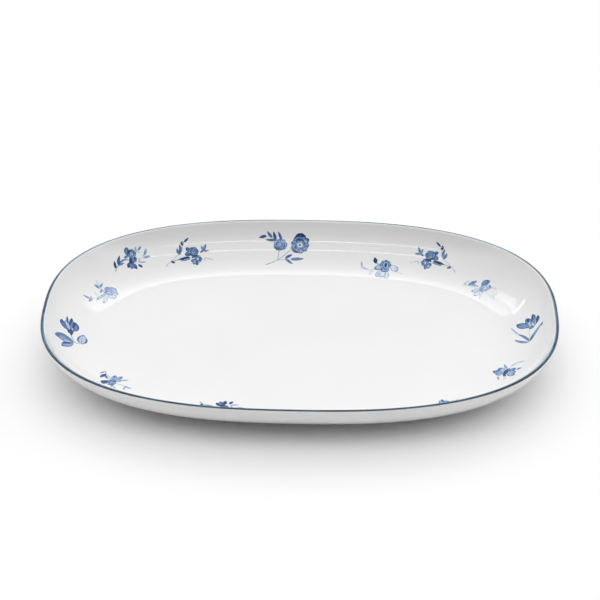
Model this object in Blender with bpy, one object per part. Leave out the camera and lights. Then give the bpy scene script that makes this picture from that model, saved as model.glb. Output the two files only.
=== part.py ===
"""An oval china serving platter with a hand-painted blue rim line and blue flower sprigs.

One fired body carries everything: the well, the coved wall, the rounded lip and the foot ring are
a single piece of porcelain. On top of its glaze sit the rim line and the flower sprigs, each one a
thin separate layer of ceramic colour. Metres, +Z up, length along X, standing on z = 0.
"""
import math
from collections import namedtuple

import bmesh
import bpy
from mathutils import Vector
from mathutils.geometry import delaunay_2d_cdt

MM = 0.001

# Overall size, over the rim line.
LENGTH = 0.350
WIDTH = 0.247
HEIGHT = 0.033
OUTLINE_POWER = 2.55  # 2 is an ellipse, higher is squarer

# Body cross-section.
LIP_RADIUS = 0.0016
WALL_RADIUS = 0.0425  # the cove that runs from the well floor to the lip
WALL_ANGLE = math.radians(63)  # how steep the wall is where it meets the lip
HEEL_THICKNESS = 0.0040
HEEL_TAPER = 3  # higher keeps the wall thick for longer on its way up
BASE_THICKNESS = 0.0048
FOOT_INSET = 0.0375  # rim to the outside of the standing face
FOOT_WIDTH = 0.0026
FOOT_EDGE = 0.0005  # softening of both edges of the standing face
FOOT_SPLAY = 0.0011  # how much wider the ring is at its root, on each side

# Rim line: a skin wrapped over the outside and the top of the lip.
COLOUR_GAP = 0.0003
COLOUR_THICKNESS = 0.0003
BAND_START = math.radians(46)  # measured up from straight outwards
BAND_END = math.radians(108)

# Brush strokes of the sprigs, in millimetres.
STEM_WIDTH = 0.8
TIP_WIDTH = 0.5  # narrowest end of a leaf or a petal
ROOT_LENGTH = 0.5  # how far a stroke reaches back into the one it grows from
LEAF_SKEW = 0.85  # below 1 a stroke is widest near its root, above 1 near its tip
PETAL_SKEW = 1.5
FULLNESS = 0.75
SCALLOP_DEPTH = 0.82  # radius of a bloom between two petals, as a share of its full radius

# Mesh density.
OUTLINE_STEPS = 96
WALL_STEPS = 9
LIP_STEPS = 4
HEEL_STEPS = 5
BAND_STEPS = 3
STROKE_STEPS = {"stem": 2, "leaf": 3, "petal": 3}
SCALLOP_POINTS = 2
JOIN_TOLERANCE = 0.03  # mm; corners of a drawing nearer than this become one
INSIDE_ONLY = 1  # what delaunay_2d_cdt returns: the triangles inside the outlines
INSIDE_WITH_HOLES = 2  # the same, leaving holes open
SMOOTH_ANGLE = math.radians(35)
BEARING_NUDGE = math.radians(0.01)  # step used to measure how fast a wall point moves with bearing

# Finishes: colour and roughness.
GLAZE_WHITE = (0.86, 0.86, 0.86)
GLAZE_ROUGHNESS = 0.05
RIM_BLUE = (0.03, 0.09, 0.13)
RIM_ROUGHNESS = 0.10
FLOWER_BLUE = (0.07, 0.14, 0.36)
FLOWER_ROUGHNESS = 0.08

# Sizes that follow from the ones above.
COLOUR_PROUD = COLOUR_GAP + COLOUR_THICKNESS
BODY_HEIGHT = HEIGHT - COLOUR_PROUD
LIP_REACH = WALL_RADIUS + LIP_RADIUS
COVE_INSET = LIP_RADIUS + LIP_REACH * math.sin(WALL_ANGLE)  # rim to the edge of the well floor
COVE_Z = BODY_HEIGHT - LIP_RADIUS + LIP_REACH * math.cos(WALL_ANGLE)  # centre of the cove
FLOOR_Z = COVE_Z - WALL_RADIUS
UNDERSIDE_Z = FLOOR_Z - BASE_THICKNESS

Stroke = namedtuple("Stroke", "form x y end_x end_y width bow")
Bloom = namedtuple("Bloom", "x y radius petals")
Sprig = namedtuple("Sprig", "name drawing bearing climb mirrored")


# ---------------------------------------------------------------- outline and wall

def rim_point(bearing):
    """The lip's outermost point in a compass direction, and the outward direction there."""
    c, s = math.cos(bearing), math.sin(bearing)
    power = OUTLINE_POWER
    half_length, half_width = LENGTH / 2, WIDTH / 2
    reach = (abs(c / half_length) ** power + abs(s / half_width) ** power) ** (-1 / power)
    x, y = reach * c, reach * s
    slope_x = math.copysign(abs(x / half_length) ** (power - 1) / half_length, x)
    slope_y = math.copysign(abs(y / half_width) ** (power - 1) / half_width, y)
    return Vector((x, y)), Vector((slope_x, slope_y)).normalized()


def section_point(bearing, inset, z):
    """A point of the cross-section, given by its distance inside the rim and its height."""
    rim, outward = rim_point(bearing)
    flat = rim - outward * inset
    return Vector((flat.x, flat.y, z))


def cove_point(bearing, climb, lift):
    """A point over the inner wall: climb up the wall from the floor edge, lift off its surface.

    A climb below zero is a place that far in on the well's floor.
    """
    if climb < 0:
        return section_point(bearing, COVE_INSET - climb, FLOOR_Z + lift)
    angle = climb / WALL_RADIUS
    radius = WALL_RADIUS - lift
    inset = COVE_INSET - radius * math.sin(angle)
    return section_point(bearing, inset, COVE_Z - radius * math.cos(angle))


# ---------------------------------------------------------------- cross-sections

def heel_thickness(angle):
    """Wall thickness under a point of the cove: thin at the lip and full at the heel."""
    lip = 2 * LIP_RADIUS
    return lip + (HEEL_THICKNESS - lip) * (1 - (angle / WALL_ANGLE) ** HEEL_TAPER)


def cove_section():
    """The inside of the wall, from the edge of the floor up to the lip."""
    angles = [WALL_ANGLE * i / WALL_STEPS for i in range(WALL_STEPS + 1)]
    return [(COVE_INSET - WALL_RADIUS * math.sin(a), COVE_Z - WALL_RADIUS * math.cos(a))
            for a in angles]


def lip_point(angle, radius):
    """A point round the lip's centre, its angle measured up from straight outwards."""
    centre_inset = COVE_INSET - LIP_REACH * math.sin(WALL_ANGLE)
    centre_z = COVE_Z - LIP_REACH * math.cos(WALL_ANGLE)
    return centre_inset - radius * math.cos(angle), centre_z + radius * math.sin(angle)


def lip_section():
    """The half-round nose of the lip, from the inside over the top to the outside."""
    inner = math.pi - (math.pi / 2 - WALL_ANGLE)
    return [lip_point(inner - math.pi * i / LIP_STEPS, LIP_RADIUS) for i in range(1, LIP_STEPS)]


def heel_section():
    """The outside of the wall, from the lip down to the root of the foot ring."""
    lowest = math.asin((COVE_INSET - FOOT_INSET + FOOT_SPLAY) / (WALL_RADIUS + HEEL_THICKNESS))
    points = []
    for i in range(HEEL_STEPS + 1):
        angle = WALL_ANGLE + (lowest - WALL_ANGLE) * i / HEEL_STEPS
        radius = WALL_RADIUS + heel_thickness(angle)
        points.append((COVE_INSET - radius * math.sin(angle), COVE_Z - radius * math.cos(angle)))
    return points


def foot_section():
    """The foot ring below its root: down the outside, across the standing face, up the inside."""
    inner = FOOT_INSET + FOOT_WIDTH
    return [
        (FOOT_INSET - FOOT_EDGE, FOOT_EDGE),
        (FOOT_INSET, 0),
        (inner, 0),
        (inner + FOOT_EDGE, FOOT_EDGE),
        (inner + FOOT_SPLAY, UNDERSIDE_Z),
    ]


def band_section():
    """The rim line's skin: its outer side first, then back along its under side."""
    angles = [BAND_START + (BAND_END - BAND_START) * i / BAND_STEPS for i in range(BAND_STEPS + 1)]
    under = [lip_point(a, LIP_RADIUS + COLOUR_GAP) for a in angles]
    over = [lip_point(a, LIP_RADIUS + COLOUR_PROUD) for a in reversed(angles)]
    return over + under


# ---------------------------------------------------------------- meshes

def bearings():
    return [2 * math.pi * i / OUTLINE_STEPS for i in range(OUTLINE_STEPS)]


def sweep(mesh, section, closed):
    """Carries a cross-section round the outline and returns the rings of vertices it made."""
    rings = [[mesh.verts.new(section_point(b, inset, z)) for b in bearings()]
             for inset, z in section]
    pairs = list(zip(rings, rings[1:]))
    if closed:
        pairs.append((rings[-1], rings[0]))
    for ring, following in pairs:
        for i in range(OUTLINE_STEPS):
            j = (i + 1) % OUTLINE_STEPS
            mesh.faces.new((ring[i], ring[j], following[j], following[i]))
    return rings


def cap(mesh, ring, z):
    """Closes a ring with a flat disc of triangles."""
    centre = mesh.verts.new((0, 0, z))
    for i, corner in enumerate(ring):
        mesh.faces.new((centre, corner, ring[(i + 1) % len(ring)]))


def add_piece(name, mesh, material):
    """Puts a finished mesh in the scene as one named piece."""
    bmesh.ops.recalc_face_normals(mesh, faces=mesh.faces)
    data = bpy.data.meshes.new(name)
    mesh.to_mesh(data)
    mesh.free()
    data.shade_smooth()
    data.set_sharp_from_angle(angle=SMOOTH_ANGLE)
    data.materials.append(material)
    piece = bpy.data.objects.new(name, data)
    bpy.context.scene.collection.objects.link(piece)
    return piece


def make_material(name, colour, roughness):
    material = bpy.data.materials.new(name)
    material.use_nodes = True
    shader = material.node_tree.nodes["Principled BSDF"]
    shader.inputs["Base Color"].default_value = (*colour, 1)
    shader.inputs["Roughness"].default_value = roughness
    shader.inputs["Coat Weight"].default_value = 1.0
    material.diffuse_color = (*colour, 1)
    return material


def make_body():
    mesh = bmesh.new()
    section = cove_section() + lip_section() + heel_section() + foot_section()
    rings = sweep(mesh, section, closed=False)
    cap(mesh, rings[0], FLOOR_Z)
    cap(mesh, rings[-1], UNDERSIDE_Z)
    return add_piece("platter_body", mesh, make_material("white_glaze", GLAZE_WHITE, GLAZE_ROUGHNESS))


def make_rim_band():
    mesh = bmesh.new()
    sweep(mesh, band_section(), closed=True)
    return add_piece("rim_band", mesh, make_material("rim_blue", RIM_BLUE, RIM_ROUGHNESS))


# ---------------------------------------------------------------- flower strokes
# A drawing is a list of strokes on the unrolled wall, in millimetres: x to the right and y up the
# wall for someone in the well who looks out at it. Each stroke runs from a start to an end, and a
# positive bow bends it to the left of that direction.

def stem(x, y, end_x, end_y, bow=0.0):
    return Stroke("stem", x, y, end_x, end_y, STEM_WIDTH, bow)


def leaf(x, y, end_x, end_y, width, bow=0.0):
    return Stroke("leaf", x, y, end_x, end_y, width, bow)


def petal(x, y, end_x, end_y, width, bow=0.0):
    return Stroke("petal", x, y, end_x, end_y, width, bow)


def bloom(x, y, radius, petals):
    return Bloom(x, y, radius, petals)


def tulip_spray():
    """A closed tulip lying to the right, two broad leaves and one rounded leaf below."""
    return [
        stem(-4.8, -6.0, -4.8, -2.8),
        stem(-4.8, -6.0, -1.8, -3.0, bow=0.3),
        stem(-2.2, -3.4, 5.0, -0.6, bow=0.4),
        stem(-4.8, -5.6, -3.4, -8.8),
        leaf(-4.6, -3.6, -8.6, 11.8, 8.8, bow=-1.4),
        leaf(-5.4, -3.6, -17.4, 6.0, 5.8, bow=-0.5),
        leaf(-6.0, -3.2, -12.6, 4.6, 1.8, bow=-0.3),
        leaf(-5.4, -2.4, -8.8, 4.8, 1.8),
        stem(-4.9, -2.6, -8.0, 10.4, bow=-1.2),
        stem(-4.2, -1.8, -6.4, 9.0, bow=-2.2),
        leaf(-4.4, -8.6, 8.6, -9.8, 6.8),
        leaf(-3.4, -8.4, 7.0, -9.0, 1.4, bow=2.2),
        leaf(-3.2, -10.2, 6.6, -11.0, 1.4, bow=-1.9),
        stem(-3.4, -9.0, 4.4, -9.4),
        petal(6.4, 0.0, 16.0, 4.6, 4.8, bow=0.3),
        petal(6.4, 0.2, 13.6, 8.2, 5.2, bow=1.6),
        petal(7.0, -0.6, 21.4, 1.0, 3.4),
        petal(6.8, -1.2, 18.6, -1.8, 5.2, bow=-1.8),
        leaf(12.0, 1.6, 21.6, 1.0, 1.7),
        leaf(13.0, 3.0, 20.6, 4.8, 1.8),
        leaf(11.4, -1.8, 18.8, -1.2, 1.6),
        petal(1.6, -1.2, 9.2, -0.4, 3.6),
        leaf(3.6, 0.4, 8.4, 2.2, 2.0),
    ]


def open_tulip():
    """A tulip thrown open to the left on a thin stem, with three slender leaves."""
    return [
        stem(-5.6, -2.6, 10.2, -3.8, bow=-0.5),
        petal(-6.0, -1.6, -18.4, -11.4, 6.2),
        petal(-7.0, 1.0, -21.4, 1.4, 3.8, bow=-0.2),
        petal(-6.0, -1.0, -20.6, -3.8, 5.0),
        petal(-5.8, 0.2, -15.8, 4.8, 3.6, bow=-1.4),
        petal(-8.6, -0.6, -4.4, -1.6, 4.4),
        leaf(-14.2, -2.8, -20.0, -2.6, 1.9),
        leaf(-13.6, 0.6, -20.8, 1.0, 1.5),
        stem(-8.6, -2.2, -14.6, -2.6),
        stem(-7.6, 1.8, -13.4, 2.4, bow=-0.4),
        stem(-8.0, -3.8, -15.4, -9.0),
        leaf(10.0, -3.2, -3.8, 8.4, 3.0, bow=1.6),
        leaf(9.6, -3.1, 3.4, -0.4, 1.9, bow=0.3),
        leaf(-0.4, 7.0, -3.8, 7.8, 1.5),
        leaf(10.2, -3.7, -5.0, -12.2, 2.2, bow=-1.0),
        leaf(-3.0, -11.0, -15.6, -15.6, 1.6, bow=0.2),
        leaf(10.4, -4.0, 1.2, -14.4, 2.4, bow=1.0),
    ]


def posy():
    """Two round blooms on a curving stem, a bud spike to the left and a sprout to the right."""
    return [
        stem(-19.8, -7.6, -14.0, -4.0, bow=0.7),
        stem(-14.4, -4.2, -1.0, -2.8, bow=0.1),
        stem(-15.2, -4.4, -7.6, 0.6, bow=0.5),
        leaf(-15.4, -4.0, -12.4, -5.8, 1.9),
        leaf(-0.8, -2.7, -9.8, -3.5, 2.4),
        leaf(-0.2, -3.8, -8.2, -5.0, 1.6),
        leaf(-7.8, 0.2, -8.8, 5.6, 2.0, bow=0.4),
        leaf(-7.6, 0.2, -6.8, 8.2, 2.2, bow=-0.7),
        stem(-7.4, 0.6, -4.9, 7.4, bow=-0.8),
        leaf(-4.9, 6.8, -4.6, 10.4, 2.2),
        stem(-4.8, 8.8, -2.6, 10.0),
        leaf(-3.4, 9.2, 0.4, 12.2, 1.6),
        stem(5.0, 1.0, 8.2, 0.8),
        leaf(9.8, 1.8, 7.0, 0.0, 1.6),
        leaf(9.6, 1.2, 8.6, 5.4, 1.7),
        leaf(9.8, 1.4, 12.2, 6.4, 1.8),
        leaf(9.4, 1.1, 13.9, 1.3, 1.7),
        stem(7.0, -5.6, 9.8, -4.9),
        stem(9.6, -7.0, 10.0, -4.4),
        stem(9.8, -4.6, 16.0, -7.2, bow=0.5),
        petal(1.4, 0.4, -4.2, -0.2, 4.0),
        petal(1.0, 0.8, -2.6, 5.2, 3.0),
        bloom(2.4, 1.4, 3.8, 6),
        petal(3.4, -5.0, -0.6, -6.6, 3.2),
        petal(3.4, -5.0, 0.8, -9.2, 3.4),
        petal(3.8, -5.4, 3.2, -10.4, 2.4),
        bloom(4.7, -4.9, 3.1, 6),
        leaf(0.2, -3.4, 6.0, -2.2, 1.5, bow=0.6),
        leaf(-1.8, 0.2, 1.6, -1.6, 1.5),
    ]


def rose_spray():
    """A ruffled rose and a smaller bloom on a forked stem, with leaflets above and below."""
    return [
        stem(-13.6, -14.0, -4.6, -9.4, bow=-0.2),
        stem(-4.8, -9.6, -3.6, 0.2),
        stem(-4.8, -9.6, 5.2, 0.2, bow=-0.3),
        stem(-4.8, -9.6, 1.4, -8.6),
        stem(-5.0, 5.8, -13.8, 9.6, bow=-0.5),
        leaf(0.6, -8.2, 6.0, -4.8, 2.3, bow=0.3),
        leaf(4.4, -8.8, 14.4, -8.2, 2.7),
        stem(0.8, -8.6, 5.4, -8.8),
        leaf(0.8, -8.4, 6.4, -13.2, 2.1),
        leaf(-12.8, 9.8, -18.0, 8.4, 2.3),
        leaf(-8.8, 8.2, -12.4, 13.0, 2.0),
        leaf(-6.2, 6.0, -7.9, 12.8, 2.3),
        leaf(-2.2, 6.0, -4.7, 12.8, 2.0, bow=-0.3),
        leaf(-5.8, 6.4, -13.8, 6.7, 2.0),
        bloom(-2.4, 3.0, 4.6, 7),
        bloom(-3.8, 3.0, 4.2, 7),
        leaf(-7.6, 1.4, -1.0, -0.6, 2.0, bow=-0.9),
        petal(11.6, 3.6, 7.2, 8.8, 5.0),
        petal(12.0, 3.6, 17.6, 7.8, 4.2),
        petal(11.2, 3.6, 12.8, 11.8, 7.0),
        leaf(7.4, 7.2, 15.4, 8.6, 3.0, bow=2.4),
        leaf(15.0, 7.6, 17.9, 7.0, 1.9),
        bloom(11.2, 2.9, 6.7, 9),
        leaf(8.0, 6.6, 14.2, 6.4, 1.9, bow=0.5),
        leaf(5.2, 0.0, 10.4, -3.2, 1.4, bow=-0.6),
    ]


def round_bloom_spray():
    """A dark double bloom with stiff leaves to the left and fine leaflets to the right."""
    return [
        stem(-15.2, -4.2, -12.8, -1.6),
        stem(-13.2, -1.8, -9.4, -0.6),
        leaf(-10.6, -0.7, -5.2, -0.3, 1.7),
        leaf(-10.0, -0.8, -0.8, 0.4, 1.4, bow=1.9),
        leaf(-10.4, -0.7, -6.2, 5.8, 2.3, bow=0.3),
        leaf(-13.8, -2.0, -11.7, 3.4, 2.1),
        petal(0.4, 3.8, -3.8, 3.0, 2.2),
        petal(-0.4, 3.0, 0.8, 10.0, 3.8, bow=0.5),
        petal(0.2, -0.6, -4.4, -4.8, 3.0),
        petal(0.0, -0.8, -1.8, -6.8, 3.0),
        petal(0.4, -0.8, 1.8, -8.0, 3.0),
        stem(2.8, -1.2, 4.8, -5.4),
        leaf(4.3, -4.7, 6.7, -7.8, 2.2),
        stem(3.4, -1.0, 6.6, -3.6),
        leaf(5.4, -3.3, 11.0, -4.4, 1.4),
        leaf(5.9, -3.2, 6.9, -0.2, 1.4),
        stem(4.4, 0.4, 10.8, -0.9),
        leaf(9.9, -0.9, 15.6, -0.5, 1.7),
        leaf(10.3, -0.9, 10.8, 1.8, 1.3),
        stem(10.2, -0.8, 12.2, 2.0),
        leaf(11.4, 0.8, 14.2, 5.4, 1.9),
        stem(5.0, 5.4, 9.0, 6.2),
        leaf(8.0, 5.7, 10.9, 7.8, 1.6),
        leaf(6.2, 5.5, 7.0, 8.6, 1.4),
        leaf(6.4, 5.7, 8.9, 3.8, 1.3),
        bloom(2.2, 0.2, 2.9, 6),
        bloom(2.6, 4.4, 3.5, 6),
        petal(0.6, 2.8, -0.6, -2.8, 2.3),
        leaf(-0.6, 4.6, 4.8, 6.6, 1.5, bow=1.0),
    ]


def low_bloom():
    """A round bloom over pale drooping petals, with a dark bud and a thin twig to the left."""
    return [
        stem(-5.6, -2.4, -13.8, -3.3),
        leaf(-13.2, -3.2, -19.6, -0.9, 1.7),
        leaf(-18.0, -1.2, -19.2, 4.2, 1.6),
        leaf(-10.0, -3.0, -12.4, -8.6, 2.4),
        stem(6.4, -2.6, 12.8, -4.6),
        petal(-2.4, -1.6, -6.8, -10.4, 4.8),
        petal(-0.8, -1.6, 1.2, -11.4, 5.0),
        petal(-1.6, -1.6, -3.0, -10.8, 5.6),
        petal(0.2, 2.2, 7.4, -3.2, 5.0, bow=1.4),
        petal(-1.4, 1.4, -9.2, -2.0, 4.8),
        stem(-4.4, 0.8, -8.9, 4.2),
        leaf(-8.5, 3.2, -9.9, 8.4, 3.0),
        petal(-1.6, 1.6, -1.2, -4.6, 6.4),
        bloom(-1.4, 2.7, 4.3, 8),
    ]


def washed_blossom():
    """A pale blossom of soft overlapping petals, with a three-leaved sprout above it."""
    return [
        stem(-8.2, -1.2, 5.0, -4.8, bow=-0.4),
        leaf(-8.4, -1.3, -12.9, -0.5, 1.8),
        leaf(-9.2, -1.0, -10.8, 5.8, 1.8),
        leaf(-9.0, -1.0, -6.6, 0.9, 1.5),
        leaf(-2.2, -3.0, -1.2, 0.8, 1.7),
        petal(6.4, -6.0, -7.0, -4.0, 2.2),
        petal(6.4, -7.0, -7.2, -9.8, 3.2),
        petal(7.0, -6.0, 4.8, -13.2, 6.4),
        petal(7.4, -6.2, 12.6, -11.0, 5.4),
        petal(7.4, -6.2, 15.0, -6.4, 6.4),
        petal(6.8, -6.0, 11.2, -1.8, 5.4),
        petal(6.6, -6.0, 5.4, -2.4, 4.6),
        bloom(6.8, -6.2, 3.0, 5),
        leaf(4.8, -4.6, 13.6, -4.4, 2.0, bow=1.3),
        stem(5.8, -3.6, 5.3, 1.6),
        leaf(5.9, -0.8, 1.4, -2.4, 1.7),
        leaf(5.2, 0.4, 3.9, 5.4, 2.4),
        leaf(5.1, 0.8, 10.3, 2.8, 1.8),
        leaf(5.3, 0.8, 7.8, 7.4, 1.4),
    ]


def light_sprig():
    """A half-open flower with small leaves to the left and wisps to the right."""
    return [
        stem(-2.4, -1.4, -12.8, -2.9, bow=0.8),
        stem(-12.2, -2.8, -16.2, -4.6),
        leaf(-15.6, -4.6, -14.5, 1.0, 1.6, bow=0.3),
        leaf(-12.6, -3.2, -9.3, 3.2, 2.9, bow=0.2),
        leaf(-11.6, -2.2, -5.2, -1.0, 1.7, bow=0.5),
        petal(-1.4, -2.0, -7.2, -7.2, 4.0),
        petal(-1.0, -2.0, 1.8, -7.0, 3.4),
        petal(-1.4, -2.2, -1.8, -10.2, 3.6),
        leaf(1.0, -5.6, 5.0, -10.4, 1.5),
        stem(1.8, 2.2, 6.4, 3.6),
        leaf(3.2, 2.6, 4.4, 5.4, 1.3),
        leaf(5.4, 3.2, 7.2, 4.9, 1.3),
        stem(1.6, -0.8, 9.2, -3.1, bow=-0.6),
        leaf(8.4, -3.1, 14.2, -3.2, 1.9),
        leaf(9.2, -3.0, 11.3, 1.2, 1.5),
        petal(-2.4, -1.0, -1.0, 7.2, 4.6, bow=1.6),
        bloom(-0.2, 0.4, 3.0, 5),
        leaf(-4.0, -0.2, 1.0, -3.2, 2.1, bow=-0.8),
        leaf(0.0, 4.4, 3.2, 1.4, 1.5, bow=0.5),
    ]


def trailing_blossom():
    """A dark-hearted blossom with long thin sprays curving up to the left."""
    return [
        stem(-8.2, -4.8, -14.0, -3.4),
        leaf(-13.0, -3.5, -17.6, 0.8, 1.8, bow=-0.2),
        leaf(-16.7, -0.6, -16.2, 6.2, 1.6),
        leaf(-9.4, -5.6, -15.8, -8.6, 1.9),
        stem(-8.8, -1.0, -8.3, 2.6),
        leaf(-8.1, 1.6, -8.9, 5.4, 2.3),
        stem(-2.0, -6.8, 3.0, -8.2),
        leaf(1.6, -8.4, 6.4, -5.9, 1.7),
        leaf(-1.6, -4.0, 6.0, -2.3, 1.4),
        petal(-3.2, -5.6, -0.6, -11.0, 3.8),
        petal(-3.8, -5.8, -4.6, -14.2, 5.2),
        petal(-4.4, -5.8, -10.8, -11.0, 5.2),
        petal(-4.8, -4.8, -4.8, 2.6, 4.4),
        petal(-3.8, -4.8, -0.5, 3.0, 4.6),
        petal(-5.4, -4.8, -9.9, 0.8, 4.0),
        petal(-4.4, -5.2, -10.6, -4.0, 2.8),
        petal(-2.6, -5.0, 0.8, -4.0, 2.4),
        leaf(-9.2, -5.2, 0.0, -5.2, 2.7),
        leaf(-9.6, -9.6, -4.0, -11.4, 1.6, bow=-0.5),
    ]


# Where each sprig sits: bearing in degrees round from +X, climb in millimetres up the wall.
SPRIGS = [
    Sprig("sprig_open_tulip", open_tulip, 0.5, 27.0, False),
    Sprig("sprig_light", light_sprig, 29.5, 16.0, False),
    Sprig("sprig_posy_right", posy, 49.0, 27.6, True),
    Sprig("sprig_low_bloom", low_bloom, 62.0, 14.0, False),
    Sprig("sprig_rose", rose_spray, 97.0, 27.0, False),
    Sprig("sprig_posy_left", posy, 127.0, 26.0, False),
    Sprig("sprig_round_bloom", round_bloom_spray, 144.2, 30.0, False),
    Sprig("sprig_washed", washed_blossom, 160.5, 20.0, False),
    Sprig("sprig_tulip", tulip_spray, 184.5, 24.0, False),
    Sprig("sprig_light_near", light_sprig, 209.8, 7.5, True),
    Sprig("sprig_low_bloom_near", low_bloom, 229.0, 29.0, True),
    Sprig("sprig_round_bloom_near", round_bloom_spray, 246.6, 5.0, True),
    Sprig("sprig_rose_near", rose_spray, 282.0, 27.0, False),
    Sprig("sprig_posy_near", posy, 314.5, 13.0, True),
    Sprig("sprig_trailing", trailing_blossom, 341.0, 15.0, False),
]


# ---------------------------------------------------------------- sprig solids

def half_width(stroke, t):
    """Half the stroke's width at a share t of its length."""
    if stroke.form == "stem":
        return stroke.width / 2
    skew = LEAF_SKEW if stroke.form == "leaf" else PETAL_SKEW
    return max(stroke.width / 2 * math.sin(math.pi * t ** skew) ** FULLNESS, TIP_WIDTH / 2)


def ribbon_outline(stroke):
    """The closed outline of a stem, leaf or petal, rooted a little way behind its start."""
    steps = STROKE_STEPS[stroke.form]
    start = Vector((stroke.x, stroke.y))
    run = Vector((stroke.end_x, stroke.end_y)) - start
    aside = Vector((-run.y, run.x)).normalized()
    root = -ROOT_LENGTH / run.length
    left, right = [], []
    for t in [root] + [i / steps for i in range(steps + 1)]:
        middle = start + run * t + aside * stroke.bow * 4 * t * (1 - t)
        ahead = run + aside * stroke.bow * 4 * (1 - 2 * t)
        across = Vector((-ahead.y, ahead.x)).normalized() * half_width(stroke, max(t, 0))
        left.append(middle + across)
        right.append(middle - across)
    return right + left[::-1]


def bloom_outline(stroke):
    """The scalloped outline of a round flower."""
    total = stroke.petals * SCALLOP_POINTS
    points = []
    for i in range(total):
        angle = 2 * math.pi * i / total
        reach = stroke.radius * (1 if i % SCALLOP_POINTS else SCALLOP_DEPTH)
        points.append(Vector((stroke.x, stroke.y)) + reach * Vector((math.cos(angle), math.sin(angle))))
    return points


def boundary_edges(triangles):
    """The directed edges that only one triangle has."""
    edges = {(t[i], t[(i + 1) % 3]) for t in triangles for i in range(3)}
    return sorted((a, b) for a, b in edges if (b, a) not in edges)


def merged_drawing(strokes):
    """All the strokes joined to one flat shape: its points in millimetres and its triangles."""
    points, outlines = [], []
    for stroke in strokes:
        outline = bloom_outline(stroke) if isinstance(stroke, Bloom) else ribbon_outline(stroke)
        outlines.append(list(range(len(points), len(points) + len(outline))))
        points += outline
    overlaid = delaunay_2d_cdt(points, [], outlines, INSIDE_ONLY, JOIN_TOLERANCE)
    corners, triangles, sources = overlaid[0], overlaid[2], overlaid[5]
    covered = [t for t, source in zip(triangles, sources) if source]
    rim = boundary_edges(covered)
    kept = sorted({a for a, _ in rim})
    edges = [(kept.index(a), kept.index(b)) for a, b in rim]
    outlined = delaunay_2d_cdt([corners[k] for k in kept], edges, [], INSIDE_WITH_HOLES, 0)
    return outlined[0], outlined[2]


def wall_map(sprig):
    """A function that carries a point of the flat drawing to its place over the wall."""
    middle = math.radians(sprig.bearing)
    before = cove_point(middle - BEARING_NUDGE, sprig.climb * MM, 0)
    after = cove_point(middle + BEARING_NUDGE, sprig.climb * MM, 0)
    metres_per_radian = (after - before).length / (2 * BEARING_NUDGE)
    side = -1 if sprig.mirrored else 1

    def place(point, lift):
        bearing = middle - side * point.x * MM / metres_per_radian
        return cove_point(bearing, (sprig.climb + point.y) * MM, lift)

    return place


def make_sprig(sprig):
    corners, triangles = merged_drawing(sprig.drawing())
    place = wall_map(sprig)
    mesh = bmesh.new()
    under = [mesh.verts.new(place(corner, COLOUR_GAP)) for corner in corners]
    over = [mesh.verts.new(place(corner, COLOUR_PROUD)) for corner in corners]
    for a, b, c in triangles:
        mesh.faces.new((over[a], over[b], over[c]))
        mesh.faces.new((under[c], under[b], under[a]))
    for a, b in boundary_edges(triangles):
        mesh.faces.new((over[b], over[a], under[a], under[b]))
    loose = [vertex for vertex in mesh.verts if not vertex.link_faces]
    bmesh.ops.delete(mesh, geom=loose, context="VERTS")
    material = make_material(sprig.name + "_blue", FLOWER_BLUE, FLOWER_ROUGHNESS)
    return add_piece(sprig.name, mesh, material)


# ---------------------------------------------------------------- build

def clear_scene():
    for existing in list(bpy.data.objects):
        bpy.data.objects.remove(existing, do_unlink=True)


clear_scene()
make_body()
make_rim_band()
for placed in SPRIGS:
    make_sprig(placed)
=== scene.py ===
"""The looks of an oval china serving platter with a blue rim line and blue flower sprigs.

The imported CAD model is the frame. The body, the rim line and each sprig are rebuilt here at full
detail on the same cross-section, and each stands for its CAD node. Metres, +Z up.
"""
import math
from collections import namedtuple

import bmesh
import bpy
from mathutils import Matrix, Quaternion, Vector, noise


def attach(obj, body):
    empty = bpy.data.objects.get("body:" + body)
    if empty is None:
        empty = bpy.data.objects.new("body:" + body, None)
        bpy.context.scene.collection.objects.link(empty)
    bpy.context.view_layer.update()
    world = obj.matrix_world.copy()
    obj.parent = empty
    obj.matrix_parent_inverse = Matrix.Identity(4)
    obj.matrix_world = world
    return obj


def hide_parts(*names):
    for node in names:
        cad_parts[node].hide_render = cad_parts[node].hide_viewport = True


MM = 0.001

# Overall size and cross-section, as in the CAD model.
LENGTH = 0.350
WIDTH = 0.247
HEIGHT = 0.033
OUTLINE_POWER = 2.55
LIP_RADIUS = 0.0016
WALL_RADIUS = 0.0425
WALL_ANGLE = math.radians(63)
HEEL_THICKNESS = 0.0040
HEEL_TAPER = 3  # higher keeps the wall thick for longer on its way up
BASE_THICKNESS = 0.0048
FOOT_INSET = 0.0375
FOOT_WIDTH = 0.0026
FOOT_EDGE = 0.0005
FOOT_SPLAY = 0.0011
FOOT_TOE = 0.0007  # rounding of both edges of the standing face
FOOT_FILLET = 0.0009  # rounding inside the root of the ring
UNDERSIDE_RUN = 0.0027  # from the root of the ring to the flat underside
BISQUE_HEIGHT = 0.000175  # the china is bare up to here
COLOUR_PROUD = 0.0006  # how far the CAD model's colour stands out

# Fineness of the meshes.
OUTLINE_STEPS = 288
WALL_STEPS = 30
LIP_STEPS = 16
HEEL_STEPS = 22
FILLET_STEPS = 5
BAND_STEPS = 12
SMOOTH_ANGLE = math.radians(40)
BEARING_NUDGE = math.radians(0.01)  # step used to measure how fast a wall point moves with bearing

# Rim line, a film over the lip. Angles are measured up from straight outwards.
BAND_START = math.radians(46)
BAND_END = math.radians(108)
BAND_SPREAD = math.radians(20)  # how much further down the outside it reaches at the two ends
BAND_WOBBLE = math.radians(5)
BAND_WOBBLE_SCALE = 22.0  # wavelengths per metre
FILM_GAP = 0.012 * MM
BAND_FILM = 0.03 * MM

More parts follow.
